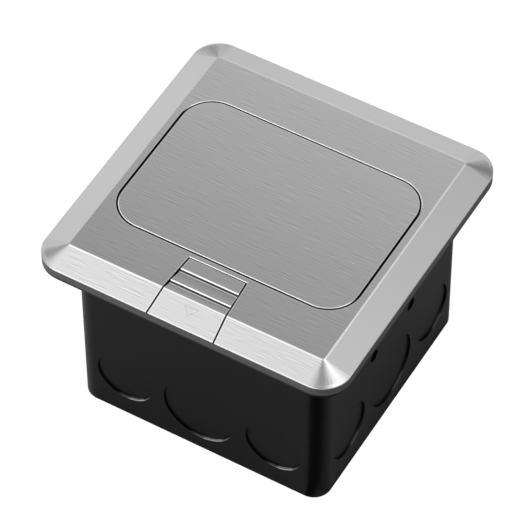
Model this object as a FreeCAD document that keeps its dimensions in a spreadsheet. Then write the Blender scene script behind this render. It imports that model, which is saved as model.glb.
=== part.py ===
import FreeCAD, Part

import math
import os

import Sketcher

# Pop-up floor socket box. Millimetres, +Z up, +Y to the back, origin at the bottom centre of the
# back box. The latch button is at the front edge, and the lid turns up on a hinge near its back.

SIZES = {
    # heights, from the underside of the back box or down from the top of the cover plate
    "overall_height": 82.8,
    "band_depth": 7.95,
    "gasket_thick": 1.0,
    "seal_gap": 0.2,
    # back box
    "box_side": 99.4,
    "box_corner": 6.8,
    "box_wall": 1.5,
    "knockout_height": 20.3,
    "knockout_pitch": 30.3,
    "knockout_small": 11.2,
    "knockout_large": 14.2,
    "knockout_step": 0.7,
    "slab_hole": 2.2,
    "slab_hole_pitch": 60.0,
    # lug brackets, spot welded to the side walls
    "bracket_thick": 1.5,
    "bracket_width": 36.0,
    "bracket_low": 37.8,
    "lug_width": 14.0,
    "lug_hole": 1.8,
    "fixing_pitch": 88.8,
    "weld_pitch": 26.4,
    "weld_height": 43.6,
    "dimple_radius": 2.5,
    "dimple_depth": 0.8,
    # earth terminal
    "earth_place": 37.0,
    "earth_boss_radius": 4.0,
    "earth_boss_height": 5.0,
    "earth_thread": 1.95,
    # cover plate
    "plate_side": 120.0,
    "plate_corner": 10.6,
    "flat_side": 100.0,
    "flat_corner": 0.6,
    "bevel_drop": 3.58,
    "lip_height": 0.45,
    "rim_width": 0.6,
    "plate_thick": 1.2,
    "edge_chamfer": 0.6,
    "tab_width": 6.0,
    "tab_inset_side": 10.0,
    "tab_inset_end": 8.5,
    "tab_gap": 0.1,
    # lid
    "lid_width": 93.8,
    "lid_length": 63.7,
    "lid_corner": 12.0,
    "lid_gap": 0.4,
    "lid_frame_thick": 2.0,
    "lid_frame_inset": 0.8,
    "lid_screw_x": 30.0,
    "lid_screw_front": 8.0,
    "buffer_front": 22.0,
    "buffer_radius": 2.6,
    # hinge
    "hinge_back": 18.0,
    "hinge_depth": 4.0,
    "pin_radius": 1.25,
    "running_gap": 0.05,
    "bush_wall": 0.6,
    "ear_radius": 2.5,
    "body_gap": 0.3,
    # under frame and cradle
    "frame_margin": 0.2,
    "web_thick": 1.9,
    "cradle_thick": 2.2,
    "cradle_gap": 0.3,
    "cradle_screw_x": 16.0,
    "cradle_screw_inset": 8.0,
    "core_inset": 4.0,
    "cradle_arm_end": 16.0,
    "ear_thick": 2.0,
    "fixing_ear_thick": 1.6,
    # latch
    "button_back": 34.84,
    "button_half_back": 11.1,
    "button_half_front": 12.9,
    "button_gap": 0.35,
    "grip_start": 40.0,
    "grip_pitch": 5.9,
    "grip_depth": 0.65,
    "grip_run": 0.8,
    "grip_floor": 0.9,
    "latch_travel": 3.5,
    "slider_half": 8.0,
    "slider_front": 48.0,
    "slider_back": 38.0,
    "slider_screw_x": 4.8,
    "slider_screw_inset": 5.0,
    "tongue_half": 6.0,
    "tongue_thick": 2.5,
    "spring_half": 1.5,
    # socket carrier
    "carrier_wall": 2.0,
    "carrier_radius": 49.0,
    "face_start": 8.0,
    "face_height": 38.0,
    "face_return": 20.0,
    # damper and its gears
    "tooth_module": 0.8,
    "sector_teeth": 40.0,
    "pinion_teeth": 12.0,
    "gear_width": 2.6,
    "gear_backlash": 0.16,
    "shaft_radius": 1.5,
    "damper_radius": 6.2,
    "damper_thick": 3.0,
    # socket inserts
    "insert_height": 34.0,
    "insert_border": 3.3,
    "outlet_width": 42.0,
    "data_width": 23.0,
    "insert_gap": 0.2,
    "insert_frame_thick": 2.5,
    "insert_wall": 1.6,
    "insert_depth": 11.0,
    "base_depth": 25.0,
    "base_top": 8.0,
    "blade_spacing": 12.7,
    "blade_height": 4.5,
    "earth_drop": 11.9,
    "blade_slot": 2.0,
    "blade_slot_long": 8.4,
    "blade_slot_short": 7.0,
    "earth_slot": 2.5,
    "shutter_travel": 2.6,
    "jack_width": 11.7,
    "jack_height": 8.0,
    "jack_drop": 2.0,
    "dust_travel": 9.2,
    "dust_thick": 1.4,
}

doc = FreeCAD.newDocument("floor_socket_box")
sheet = doc.addObject("Spreadsheet::Sheet", "Sizes")
for row, (alias, value) in enumerate(SIZES.items(), start=1):
    sheet.set(f"A{row}", alias)
    sheet.set(f"B{row}", str(value))
    sheet.setAlias(f"B{row}", alias)
doc.recompute()


class Size:
    """A length or an angle: its value, and the expression that ties it to the sheet."""

    def __init__(self, value, text):
        self.value = value
        self.text = text

    def __add__(self, other):
        other = as_size(other)
        return Size(self.value + other.value, f"({self.text} + {other.text})")

    def __sub__(self, other):
        other = as_size(other)
        return Size(self.value - other.value, f"({self.text} - {other.text})")

    def __mul__(self, other):
        other = as_size(other)
        return Size(self.value * other.value, f"({self.text} * {other.text})")

    def __truediv__(self, other):
        other = as_size(other)
        return Size(self.value / other.value, f"({self.text} / {other.text})")

    def __radd__(self, other):
        return as_size(other) + self

    def __rsub__(self, other):
        return as_size(other) - self

    def __rmul__(self, other):
        return as_size(other) * self

    def __neg__(self):
        return 0 - self


def as_size(number):
    """A Size as it is, or a plain number as one."""
    return number if isinstance(number, Size) else Size(float(number), repr(float(number)))


def sine(angle):
    return Size(math.sin(math.radians(angle.value)), f"sin({angle.text})")


def cosine(angle):
    return Size(math.cos(math.radians(angle.value)), f"cos({angle.text})")


def arcsine(ratio):
    """The angle in degrees, as a plain number."""
    return Size(math.degrees(math.asin(ratio.value)), f"(asin({ratio.text}) / 1 deg)")


class Sheet:
    """The sheet's cells by name."""

    def __getattr__(self, alias):
        return Size(float(sheet.get(alias)), f"Sizes.{alias}")


D = Sheet()

# Levels and places that several pieces share.
top = D.overall_height
plate_under = top - D.plate_thick
rim_top = top - D.bevel_drop
rim_under = rim_top - D.lip_height
band_under = top - D.band_depth
box_top = band_under
seal_under = band_under - D.gasket_thick
cradle_under = band_under - D.cradle_thick
web_under = plate_under - 0.1 - D.web_thick
hinge_y = D.hinge_back
hinge_z = top - D.hinge_depth
lid_frame_under = plate_under - D.lid_frame_thick
carrier_top = lid_frame_under
carrier_ceiling = carrier_top - D.carrier_wall
fixing_x = D.fixing_pitch / 2
insert_half = (D.outlet_width + D.data_width) / 2
cheek_inside = insert_half + D.insert_border
carrier_half = cheek_inside + D.carrier_wall
gear_start = carrier_half
cradle_ear_x = gear_start + D.gear_width + 3 * D.body_gap + 0.2
cradle_opening = cradle_ear_x - 0.2
cradle_screw_y = -(D.box_side / 2 - D.cradle_screw_inset)
pinion_z = hinge_z - D.tooth_module * (D.sector_teeth + D.pinion_teeth) / 2
button_taper = (D.button_half_front - D.button_half_back) / (D.plate_side / 2 - D.button_back)

# The socket face is a chord of the circle that the carrier's front sweeps about the hinge.
face_half_angle = arcsine(D.face_height / 2 / D.carrier_radius)
face_angle = D.face_start + face_half_angle
face_end = face_angle + face_half_angle
face_y = hinge_y - D.carrier_radius * cosine(face_half_angle) * cosine(face_angle)
face_z = hinge_z - D.carrier_radius * cosine(face_half_angle) * sine(face_angle)
outlet_x = -D.data_width / 2
data_x = D.outlet_width / 2


def bind(thing, prop, size):
    """Tie one property to the sheet."""
    thing.setExpression(prop, as_size(size).text)


def new_body(label):
    body = doc.addObject("PartDesign::Body", label)
    body.Label = label
    return body


def origin_feature(body, role):
    return [item for item in body.Origin.OriginFeatures if item.Role == role][0]


def new_sketch(body, name, role, offset):
    """A sketch on one of the body's own origin planes, moved along its normal by offset."""
    sketch = body.newObject("Sketcher::SketchObject", name)
    sketch.AttachmentSupport = (origin_feature(body, role), [""])
    sketch.MapMode = "FlatFace"
    bind(sketch, "AttachmentOffset.Base.z", offset)
    return sketch


def hold(sketch, kind, items, size):
    """A sized constraint tied to the sheet."""
    size = as_size(size)
    index = sketch.addConstraint(Sketcher.Constraint(kind, *items, size.value))
    sketch.setExpression(f"Constraints[{index}]", size.text)


def outline(body, name, role, corners, offset=0):
    """A closed straight-sided outline, each corner held from the origin."""
    sketch = new_sketch(body, name, role, offset)
    corners = [(as_size(x), as_size(y)) for x, y in corners]
    points = [FreeCAD.Vector(x.value, y.value, 0) for x, y in corners]
    count = len(points)
    sketch.addGeometry([Part.LineSegment(points[i], points[(i + 1) % count]) for i in range(count)])
    sketch.addConstraint([Sketcher.Constraint("Coincident", i, 2, (i + 1) % count, 1) for i in range(count)])
    for i, (x, y) in enumerate(corners):
        hold(sketch, "DistanceX", (-1, 1, i, 1), x)
        hold(sketch, "DistanceY", (-1, 1, i, 1), y)
    return sketch


def rectangle(body, name, role, x_range, y_range, offset=0):
    (left, right), (low, high) = x_range, y_range
    return outline(body, name, role, [(left, low), (right, low), (right, high), (left, high)], offset)


def rounded_rectangle(body, name, width, length, corner, offset=0):
    """A rectangle with round corners about the Z axis, at a height."""
    sketch = new_sketch(body, name, "XY_Plane", offset)
    width, length, corner = as_size(width), as_size(length), as_size(corner)
    x, y, r = width.value / 2, length.value / 2, corner.value
    ends = [((-x + r, -y), (x - r, -y)), ((x, -y + r), (x, y - r)),
            ((x - r, y), (-x + r, y)), ((-x, y - r), (-x, -y + r))]
    centres = [(x - r, -y + r), (x - r, y - r), (-x + r, y - r), (-x + r, -y + r)]
    for start, end in ends:
        sketch.addGeometry(Part.LineSegment(FreeCAD.Vector(*start, 0), FreeCAD.Vector(*end, 0)))
    for i, centre in enumerate(centres):
        circle = Part.Circle(FreeCAD.Vector(*centre, 0), FreeCAD.Vector(0, 0, 1), r)
        first = math.radians(-90 + 90 * i)
        sketch.addGeometry(Part.ArcOfCircle(circle, first, first + math.pi / 2))
    for i in range(4):
        sketch.addConstraint(Sketcher.Constraint("Tangent", i, 2, 4 + i, 1))
        sketch.addConstraint(Sketcher.Constraint("Tangent", 4 + i, 2, (i + 1) % 4, 1))
        sketch.addConstraint(Sketcher.Constraint(("Horizontal", "Vertical")[i % 2], i))
        if i:
            sketch.addConstraint(Sketcher.Constraint("Equal", 4, 4 + i))
    hold(sketch, "Radius", (4,), corner)
    hold(sketch, "DistanceY", (-1, 1, 0, 1), -length / 2)
    hold(sketch, "DistanceX", (-1, 1, 1, 1), width / 2)
    hold(sketch, "DistanceY", (-1, 1, 2, 1), length / 2)
    hold(sketch, "DistanceX", (-1, 1, 3, 1), -width / 2)
    return sketch


def circles(body, name, role, rounds, offset=0):
    """Circles, each given as x, y and radius."""
    sketch = new_sketch(body, name, role, offset)
    for i, (x, y, radius) in enumerate(rounds):
        x, y, radius = as_size(x), as_size(y), as_size(radius)
        centre = FreeCAD.Vector(x.value, y.value, 0)
        sketch.addGeometry(Part.Circle(centre, FreeCAD.Vector(0, 0, 1), radius.value))
        hold(sketch, "DistanceX", (-1, 1, i, 3), x)
        hold(sketch, "DistanceY", (-1, 1, i, 3), y)
        hold(sketch, "Radius", (i,), radius)
    return sketch


def extrude(body, kind, sketch, length, back=False, both=False):
    """A pad or a pocket of a sketch: along its own way, back, or half each way."""
    feature = body.newObject(f"PartDesign::{kind}", f"{sketch.Name}_{kind.lower()}")
    feature.Profile = sketch
    bind(feature, "Length", length)
    feature.Reversed = back
    if both:
        feature.SideType = "Symmetric"
    return feature


def pad(body, sketch, length, back=False, both=False):
    return extrude(body, "Pad", sketch, length, back, both)


def pocket(body, sketch, length, back=False, both=False):
    return extrude(body, "Pocket", sketch, length, back, both)


def loft(body, kind, lower, upper):
    """A ruled loft between two like sketches."""
    feature = body.newObject(f"PartDesign::{kind}", f"{lower.Name}_loft")
    feature.Profile = lower
    feature.Sections = [upper]
    feature.Ruled = True
    return feature


def mirror(body, features, role):
    """The same features on the other side of one of the body's origin planes."""
    feature = body.newObject("PartDesign::Mirrored", f"{features[0].Name}_mirrored")
    feature.Originals = features
    feature.MirrorPlane = (origin_feature(body, role), [""])
    body.Tip = feature
    return feature


def turned(label, corners):
    """A turned piece about its own Z axis, from its half section (radius, height)."""
    body = new_body(label)
    section = outline(body, f"{label}_section", "XZ_Plane", corners)
    feature = body.newObject("PartDesign::Revolution", f"{label}_turned")
    feature.Profile = section
    feature.ReferenceAxis = (origin_feature(body, "Z_Axis"), [""])
    feature.Angle = 360
    return body


def screw(label, head_radius, head_height, shank_radius, shank_length):
    """A hexagon-headed screw with its head above the origin and its shank below."""
    body = new_body(label)
    head_radius = as_size(head_radius)
    corners = [(head_radius * cosine(as_size(60 * turn)), head_radius * sine(as_size(60 * turn))) for turn in range(6)]
    pad(body, outline(body, f"{label}_head", "XY_Plane", corners), head_height)
    pad(body, circles(body, f"{label}_shank", "XY_Plane", [(0, 0, shank_radius)]), shank_length, back=True)
    return body


parts = {}


def keep(thing, at_face=False):
    """Put a finished piece on the list, seated in the socket face's own frame if it belongs there."""
    if at_face:
        thing.Placement = FreeCAD.Placement(FreeCAD.Vector(), FreeCAD.Rotation(FreeCAD.Vector(1, 0, 0), 90))
        bind(thing, "Placement.Base.y", face_y)
        bind(thing, "Placement.Base.z", face_z)
        bind(thing, "Placement.Rotation.Angle", 90 + face_angle)
    parts[thing.Label] = thing
    return thing


def group(label, master, places, at_face=False):
    """Separate copies of one master piece as one node. A place is a point and a turn."""
    doc.recompute()
    copies = []
    for point, rotation in places:
        spot = FreeCAD.Vector(*(as_size(value).value for value in point))
        shape = master.Shape.copy()
        shape.Placement = FreeCAD.Placement(spot, rotation)
        copies.append(shape)
    feature = doc.addObject("Part::Feature", label)
    feature.Label = label
    feature.Shape = Part.makeCompound(copies)
    return keep(feature, at_face)


UPRIGHT = FreeCAD.Rotation()
HEAD_DOWN = FreeCAD.Rotation(FreeCAD.Vector(1, 0, 0), 180)
HEAD_RIGHT = FreeCAD.Rotation(FreeCAD.Vector(0, 1, 0), 90)
HEAD_LEFT = FreeCAD.Rotation(FreeCAD.Vector(0, 1, 0), -90)


def from_face(up, out):
    """A point of the side view from its place on the socket face: up the face, and out of it."""
    up, out = as_size(up), as_size(out)
    return (face_y - up * sine(face_angle) - out * cosine(face_angle),
            face_z + up * cosine(face_angle) - out * sine(face_angle))


# ---- back box: pressed shell with scored knockouts in all four walls and the floor ----
def build_back_box():
    body = new_body("back_box")
    inside = D.box_side - 2 * D.box_wall
    pad(body, rounded_rectangle(body, "box_outside", D.box_side, D.box_side, D.box_corner), box_top)
    hollow = rounded_rectangle(body, "box_inside", inside, inside, D.box_corner - D.box_wall, D.box_wall)
    pocket(body, hollow, box_top, back=True)
    discs = [(-D.knockout_pitch, D.knockout_height, D.knockout_small),
             (0, D.knockout_height, D.knockout_large),
             (D.knockout_pitch, D.knockout_height, D.knockout_small)]
    recess = pocket(body, circles(body, "knockouts", "XZ_Plane", discs, D.box_side / 2), D.knockout_step)
    walls = body.newObject("PartDesign::PolarPattern", "walls")
    walls.Originals = [recess]
    walls.Axis = (origin_feature(body, "Z_Axis"), [""])
    walls.Angle = 360
    walls.Occurrences = 4
    body.Tip = walls
    marks = [(side, D.weld_height, D.dimple_radius) for side in (-D.weld_pitch / 2, D.weld_pitch / 2)]
    dimples = pocket(body, circles(body, "weld_dimples", "YZ_Plane", marks, D.box_side / 2), D.dimple_depth)
    mirror(body, [dimples], "YZ_Plane")
    pocket(body, circles(body, "floor_knockout", "XY_Plane", [(0, 0, D.knockout_large)]), D.knockout_step, back=True)
    half = D.slab_hole_pitch / 2
    slab_holes = [(x, y, D.slab_hole) for x in (-half, half) for y in (-half, half)]
    pocket(body, circles(body, "slab_holes", "XY_Plane", slab_holes), 2 * D.box_wall, back=True)
    boss = circles(body, "earth_boss", "XY_Plane", [(-D.earth_place, 0, D.earth_boss_radius)], D.box_wall)
    pad(body, boss, D.earth_boss_height)
    thread = circles(body, "earth_thread", "XY_Plane", [(-D.earth_place, 0, D.earth_thread)], D.box_wall)
    pocket(body, thread, D.earth_boss_height + 1, back=True)
    return keep(body)


# ---- lug brackets and the earth terminal ----
def build_box_fittings():
    wall_x = D.box_side / 2 - D.box_wall
    bracket = new_body("lug_bracket")
    half = D.bracket_width / 2
    lug_half = D.lug_width / 2
    upright = rectangle(bracket, "bracket_wall", "YZ_Plane", (-half, half), (D.bracket_low, cradle_under - 4),
                        wall_x)
    pad(bracket, upright, D.bracket_thick, back=True)
    neck = rectangle(bracket, "bracket_neck", "YZ_Plane", (-lug_half, lug_half), (cradle_under - 8, cradle_under), wall_x)
    pad(bracket, neck, D.bracket_thick, back=True)
    lug = rectangle(bracket, "lug", "XY_Plane", (cradle_ear_x + 0.1, wall_x), (-lug_half, lug_half), cradle_under)
    pad(bracket, lug, D.bracket_thick, back=True)
    pocket(bracket, circles(bracket, "lug_hole", "XY_Plane", [(fixing_x, 0, D.lug_hole)], cradle_under), 4)
    half_turn = FreeCAD.Rotation(FreeCAD.Vector(0, 0, 1), 180)
    group("lug_brackets", bracket, [((0, 0, 0), UPRIGHT), ((0, 0, 0), half_turn)])

    boss_top = D.box_wall + D.earth_boss_height
    clamp = new_body("earth_clamp")
    half = D.earth_boss_radius
    pad(clamp, rectangle(clamp, "clamp_plate", "XY_Plane", (-half, half), (-half, half)), 1)
    pocket(clamp, circles(clamp, "clamp_hole", "XY_Plane", [(0, 0, D.earth_thread + 0.1)]), 1, back=True)
    earth_screw = screw("earth_screw", 3.6, 2.6, D.earth_thread - D.running_gap, D.earth_boss_height)
    for piece, height in ((clamp, boss_top), (earth_screw, boss_top + 1)):
        bind(piece, "Placement.Base.x", -D.earth_place)
        bind(piece, "Placement.Base.z", height)
        keep(piece)


# ---- seal, under frame and cover plate ----
def build_gasket():
    body = new_body("floor_gasket")
    outer = D.plate_side - 2 * D.rim_width
    pad(body, rounded_rectangle(body, "seal_outside", outer, outer, D.plate_corner - D.rim_width, seal_under), D.gasket_thick)
    inner = D.box_side + 2 * D.seal_gap
    hole = rounded_rectangle(body, "seal_inside", inner, inner, D.box_corner + D.seal_gap, seal_under)
    pocket(body, hole, D.gasket_thick, back=True)
    return keep(body)


def button_slot(gap, front):
    """Corners of the tapered button slot, seen from above, with a gap all round."""
    back = D.button_back - gap
    half_back = D.button_half_back + gap
    half_front = D.button_half_back + gap + (front - D.button_back) * button_taper
    return [(-half_front, -front), (half_front, -front), (half_back, -back), (-half_back, -back)]


def under_plate_loft(body, kind, drop):
    """The form under the plate's bevel, lowered by drop."""
    rim_side = D.plate_side - 2 * D.rim_width
    flat = D.flat_side - 2 * D.rim_width
    low = rounded_rectangle(body, "rim_inside", rim_side, rim_side, D.plate_corner - D.rim_width, rim_under - drop)
    high = rounded_rectangle(body, "flat_inside", flat, flat, D.flat_corner, plate_under - drop)
    return loft(body, kind, low, high)


def tab_corners(gap):
    """Corner ranges of the four plate tabs, or with a gap of the slots that they pass through."""
    x, y = D.box_side / 2 - D.tab_inset_side, D.box_side / 2 - D.tab_inset_end
    half, thick = D.tab_width / 2 + gap, D.plate_thick / 2 + gap
    return [((side * x - half, side * x + half), (end * y - thick, end * y + thick)) for side in (-1, 1) for end in (-1, 1)]


def build_under_frame():
    body = new_body("under_frame")
    side, corner = D.plate_side, D.plate_corner
    pad(body, rounded_rectangle(body, "band", side, side, corner, band_under), rim_under - band_under)
    under_plate_loft(body, "AdditiveLoft", 0.1)
    margin = D.lid_gap + D.frame_margin
    opening = rounded_rectangle(body, "frame_opening", D.lid_width + 2 * margin, D.lid_length + 2 * margin + 1.6,
                                D.lid_corner + margin, band_under)
    pocket(body, opening, D.band_depth, back=True)
    # cored from below
    core = web_under - band_under
    near, far = D.lid_length / 2 + D.core_inset, D.box_side / 2 - D.box_wall - 1
    side, rib = D.box_side / 2 - D.core_inset, D.cradle_screw_x + 6
    pocket(body, rectangle(body, "core_back", "XY_Plane", (-side, side), (near, far), band_under), core, back=True)
    pocket(body, rectangle(body, "core_left", "XY_Plane", (-side, -rib), (-far, -near), band_under), core, back=True)
    pocket(body, rectangle(body, "core_right", "XY_Plane", (rib, side), (-far, -near), band_under), core, back=True)
    # ears that the fixing screws clamp
    ear_half = D.lug_width / 2
    inner, outer = cradle_ear_x + 0.1, D.lid_width / 2 + margin + 1
    for x_range in ((inner, outer), (-outer, -inner)):
        ear = rectangle(body, "fixing_ear", "XY_Plane", x_range, (-ear_half, ear_half), band_under)
        pad(body, ear, D.fixing_ear_thick)
    cut_fixing_slots(body, "ear_slot", band_under)
    # room for the latch: slider bay from below, neck slot and the step under the button
    bay_half = D.slider_half + D.body_gap + 1
    bay_front = D.slider_front + D.latch_travel + D.body_gap
    bay_back = D.lid_length / 2 - 1
    bay = rectangle(body, "slider_bay", "XY_Plane", (-bay_half, bay_half), (-bay_front, -bay_back), band_under)
    pocket(body, bay, core, back=True)
    neck_half = D.slider_half + D.body_gap
    neck = rectangle(body, "neck_slot", "XY_Plane", (-neck_half, neck_half),
                     (-bay_front, -(D.slider_back - D.body_gap)), web_under)
    pocket(body, neck, 6, back=True)
    drop = D.body_gap
    half = D.plate_side / 2
    profile = [(-D.button_back + 1, top), (-D.button_back + 1, plate_under - drop),
               (-(D.flat_side / 2 - D.rim_width), plate_under - drop), (-(half - D.rim_width), rim_under - drop),
               (-half - 1, rim_under - drop), (-half - 1, top)]
    pocket(body, outline(body, "button_step", "YZ_Plane", profile), 2 * (D.button_half_front + D.button_gap), both=True)
    # slots for the plate's tabs, and pilots for the cradle screws
    for x_range, y_range in tab_corners(D.tab_gap):
        pocket(body, rectangle(body, "tab_slot", "XY_Plane", x_range, y_range, web_under), D.web_thick + 1, back=True)
    pilots = [(x, cradle_screw_y, 1.4) for x in (-D.cradle_screw_x, D.cradle_screw_x)]
    pocket(body, circles(body, "cradle_pilots", "XY_Plane", pilots, band_under), 4.5, back=True)
    return keep(body)


def cut_fixing_slots(body, name, height):
    """Square-ended slots that let the plate be squared up before the fixing screws are tightened."""
    half = D.lug_hole + 0.15
    for x in (-fixing_x, fixing_x):
        slot = rectangle(body, name, "XY_Plane", (x - half, x + half), (-half - 1, half + 1), height)
        pocket(body, slot, 4, back=True)


def build_cover_plate():
    body = new_body("cover_plate")
    side = D.plate_side
    low = rounded_rectangle(body, "rim", side, side, D.plate_corner, rim_top)
    high = rounded_rectangle(body, "flat", D.flat_side, D.flat_side, D.flat_corner, top)
    loft(body, "AdditiveLoft", low, high)
    pad(body, rounded_rectangle(body, "lip", side, side, D.plate_corner, rim_under), D.lip_height)
    under_plate_loft(body, "SubtractiveLoft", as_size(0))
    tab_end = web_under - 1.2
    for x_range, y_range in tab_corners(as_size(0)):
        pad(body, rectangle(body, "tab", "XY_Plane", x_range, y_range, tab_end), plate_under - tab_end)
    width, length = D.lid_width + 2 * D.lid_gap, D.lid_length + 2 * D.lid_gap
    corner = D.lid_corner + D.lid_gap
    pocket(body, rounded_rectangle(body, "lid_opening", width, length, corner, top), D.plate_thick + 1)
    relief = D.edge_chamfer
    doc.recompute()
    edges = [f"Edge{i + 1}" for i, edge in enumerate(body.Shape.Edges)
             if abs(edge.BoundBox.ZMax - plate_under.value) < 1e-4 and abs(edge.BoundBox.ZMin - plate_under.value) < 1e-4
             and max(abs(edge.BoundBox.XMin), abs(edge.BoundBox.XMax)) < width.value / 2 + 1e-3
             and max(abs(edge.BoundBox.YMin), abs(edge.BoundBox.YMax)) < length.value / 2 + 1e-3]
    cut_plate = body.Tip
    chamfer = body.newObject("PartDesign::Chamfer", "opening_relief")
    chamfer.Base = (cut_plate, edges)
    bind(chamfer, "Size", relief)
    slot = outline(body, "button_opening", "XY_Plane", button_slot(D.button_gap, side / 2 + 1), top)
    pocket(body, slot, D.bevel_drop + 3)
    return keep(body)


def build_frame_fixings():
    cradle_screw = screw("cradle_screw", 2.6, 1.6, 1.3, D.cradle_thick + 4)
    places = [((x, cradle_screw_y, cradle_under), HEAD_DOWN) for x in (-D.cradle_screw_x, D.cradle_screw_x)]
    group("cradle_screws", cradle_screw, places)
    reach = D.fixing_ear_thick + D.cradle_thick + 14
    fixing_screw = screw("fixing_screw", 2.7, 1.8, D.lug_hole - D.running_gap, reach)
    seat = band_under + D.fixing_ear_thick
    group("fixing_screws", fixing_screw, [((x, 0, seat), UPRIGHT) for x in (-fixing_x, fixing_x)])


# ---- cradle: U frame in the mouth of the box, with the hinge ears ----
def build_cradle():
    body = new_body("hinge_cradle")
    outer = D.box_side - 2 * D.box_wall - 2 * D.cradle_gap
    corner = D.box_corner - D.box_wall - D.cradle_gap
    pad(body, rounded_rectangle(body, "cradle_plate", outer, outer, corner, cradle_under), D.cradle_thick)
    reach = D.box_side / 2
    front = D.lid_length / 2 + 1
    middle = rectangle(body, "cradle_opening", "XY_Plane", (-cradle_opening, cradle_opening), (-front, reach),
                       cradle_under)
    pocket(body, middle, D.cradle_thick, back=True)
    behind = rectangle(body, "cradle_back", "XY_Plane", (-reach, reach), (D.cradle_arm_end, reach), cradle_under)
    pocket(body, behind, D.cradle_thick, back=True)
    screw_holes = [(x, cradle_screw_y, 1.5) for x in (-D.cradle_screw_x, D.cradle_screw_x)]
    pocket(body, circles(body, "cradle_holes", "XY_Plane", screw_holes, cradle_under), 4, back=True)
    cut_fixing_slots(body, "cradle_slot", cradle_under)
    # hinge cheeks
    low = pinion_z - 11
    near, far = D.lug_width / 2 + 1.2, hinge_y + 6.5
    cheek = outline(body, "cheek", "YZ_Plane", [
        (near + 3, low), (far, low), (far, hinge_z - 11), (hinge_y + 2, hinge_z - 2.8), (hinge_y - 2.2, hinge_z - 0.8),
        (near, band_under), (near, pinion_z + 5)], cradle_ear_x)
    cheek_pad = pad(body, cheek, D.ear_thick)
    ear = circles(body, "ear", "YZ_Plane", [(hinge_y, hinge_z, D.ear_radius)], cradle_ear_x)
    ear_pad = pad(body, ear, D.ear_thick)
    bore = circles(body, "ear_bore", "YZ_Plane", [(hinge_y, hinge_z, D.pin_radius + 0.01)], cradle_ear_x)
    bore_cut = pocket(body, bore, D.ear_thick, back=True)
    mirror(body, [cheek_pad, ear_pad, bore_cut], "YZ_Plane")
    shaft = circles(body, "shaft_bore", "YZ_Plane", [(hinge_y, pinion_z, D.shaft_radius + D.running_gap)], cradle_ear_x)
    pocket(body, shaft, D.ear_thick, back=True)
    pilots = [(hinge_y, pinion_z + lift, 0.9) for lift in (-8.6, 8.6)]
    pocket(body, circles(body, "damper_pilots", "YZ_Plane", pilots, cradle_ear_x), D.ear_thick, back=True)
    return keep(body)


def build_hinge():
    length = cradle_ear_x + D.ear_thick - cheek_inside + 0.4
    pin_head = D.ear_radius - 0.4
    pin = turned("hinge_pin", [(0, -length), (D.pin_radius, -length), (D.pin_radius, 0), (pin_head, 0), (pin_head, 0.8), (0, 0.8)])
    end = cradle_ear_x + D.ear_thick
    group("hinge_pins", pin, [((end, hinge_y, hinge_z), HEAD_RIGHT), ((-end, hinge_y, hinge_z), HEAD_LEFT)])
    bore = D.pin_radius + D.running_gap
    outside = bore + D.bush_wall
    bush = turned("hinge_bush", [(bore, 0), (outside, 0), (outside, D.carrier_wall), (bore, D.carrier_wall)])
    half = carrier_half
    group("hinge_bushes", bush, [((half, hinge_y, hinge_z), HEAD_LEFT), ((-half, hinge_y, hinge_z), HEAD_RIGHT)])
    # torsion spring on the left pin: coil, a leg under the carrier's peg and a leg against the cheek's peg
    spring = new_body("torsion_spring")
    coil_start = carrier_half + D.body_gap
    coil = circles(spring, "coil", "YZ_Plane", [(hinge_y, hinge_z, 2.4), (hinge_y, hinge_z, D.pin_radius + 0.2)], -coil_start)
    pad(spring, coil, cradle_ear_x - 2 * D.body_gap - carrier_half, back=True)
    leg_x = carrier_half + 1.2
    leg = rectangle(spring, "lifting_leg", "YZ_Plane", (hinge_y - 14, hinge_y), (hinge_z - 2.4, hinge_z - 1.6), -leg_x)
    pad(spring, leg, 0.8, back=True)
    resting = rectangle(spring, "resting_leg", "YZ_Plane", (hinge_y + 1.5, hinge_y + 2.3), (hinge_z - 9, hinge_z), -leg_x)
    pad(spring, resting, 0.8, back=True)
    keep(spring)


# ---- lid ----
def lid_screw_places():
    return [(x, -D.lid_screw_front) for x in (-D.lid_screw_x, D.lid_screw_x)]


def build_lid():
    panel = new_body("lid_panel")
    pad(panel, rounded_rectangle(panel, "panel", D.lid_width, D.lid_length, D.lid_corner, plate_under), D.plate_thick)
    keep(panel)

    frame = new_body("lid_frame")
    inset = 2 * D.lid_frame_inset
    base = rounded_rectangle(frame, "frame_edge", D.lid_width - inset, D.lid_length - inset, D.lid_corner - D.lid_frame_inset,
                             lid_frame_under)
    pad(frame, base, D.lid_frame_thick)
    pilots = [(x, y, 1.3) for x, y in lid_screw_places()]
    pocket(frame, circles(frame, "lid_pilots", "XY_Plane", pilots, lid_frame_under), D.lid_frame_thick, back=True)
    inner, outer = cheek_inside - 1.2, cradle_ear_x + D.ear_thick + 2
    reach = D.ear_radius + 1.1
    for x_range in ((inner, outer), (-outer, -inner)):
        notch = rectangle(frame, "hinge_notch", "XY_Plane", x_range, (hinge_y - reach, hinge_y + reach), lid_frame_under)
        pocket(frame, notch, D.lid_frame_thick, back=True)
    keep(frame)

    lid_screw = screw("lid_screw", 2.4, 1.5, 1.25, D.carrier_wall + D.lid_frame_thick - 0.2)
    group("lid_screws", lid_screw, [((x, y, carrier_ceiling), HEAD_DOWN) for x, y in lid_screw_places()])

    seat = band_under
    lid_buffer = new_body("lid_buffer")
    disc = circles(lid_buffer, "buffer_disc", "XY_Plane", [(0, 0, D.buffer_radius)])
    pad(lid_buffer, disc, lid_frame_under - D.body_gap - seat)
    group("lid_buffers", lid_buffer, [((x, -D.buffer_front, seat), UPRIGHT) for x in (-fixing_x, fixing_x)])


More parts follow.
